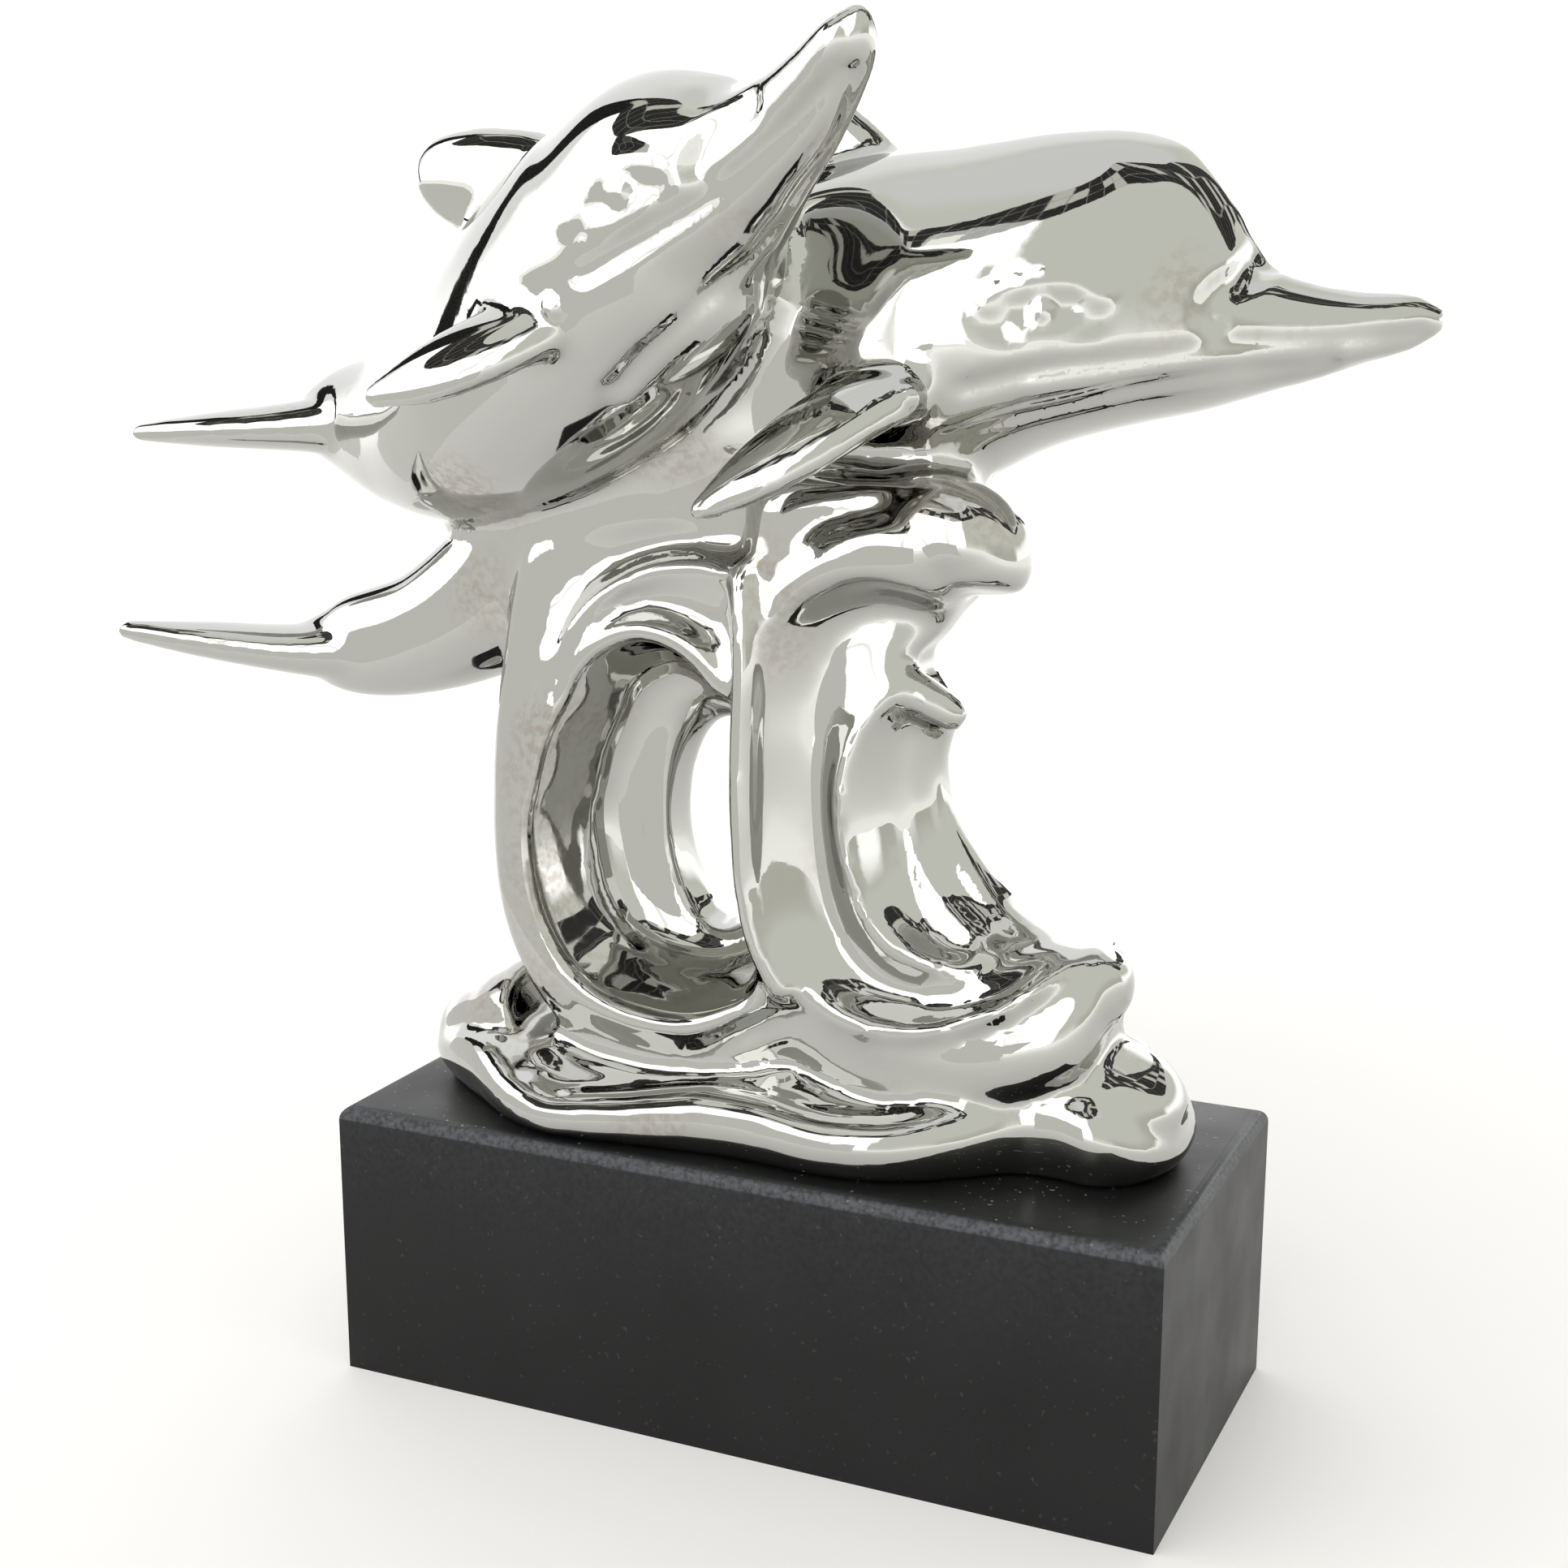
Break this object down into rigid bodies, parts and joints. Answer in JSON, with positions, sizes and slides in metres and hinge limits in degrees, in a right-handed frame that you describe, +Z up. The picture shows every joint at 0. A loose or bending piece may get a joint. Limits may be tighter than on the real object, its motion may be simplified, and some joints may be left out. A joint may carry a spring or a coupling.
{
  "type": "ceramic dolphin sculpture",
  "caption": "Mantel ornament of dolphins crossing above a curling wave, cast as one mirror-silver ceramic piece on a satin black block plinth",
  "frame": {"origin": "middle of the plinth's underside", "axes": "+Z up, +X along the plinth's long side towards the lower dolphin's nose, -Y towards the viewer and the upper dolphin"},
  "size_m": [0.2816, 0.1226, 0.2751],
  "materials": {
    "silver_glaze": "mirror-bright silver film over smooth glazed ceramic",
    "black_paint": "satin black paint over a smooth wood-board block"
  },
  "bodies": {
    "root": {"dolphins_on_wave": "silver_glaze", "plinth": "black_paint"}
  },
  "joints": []
}
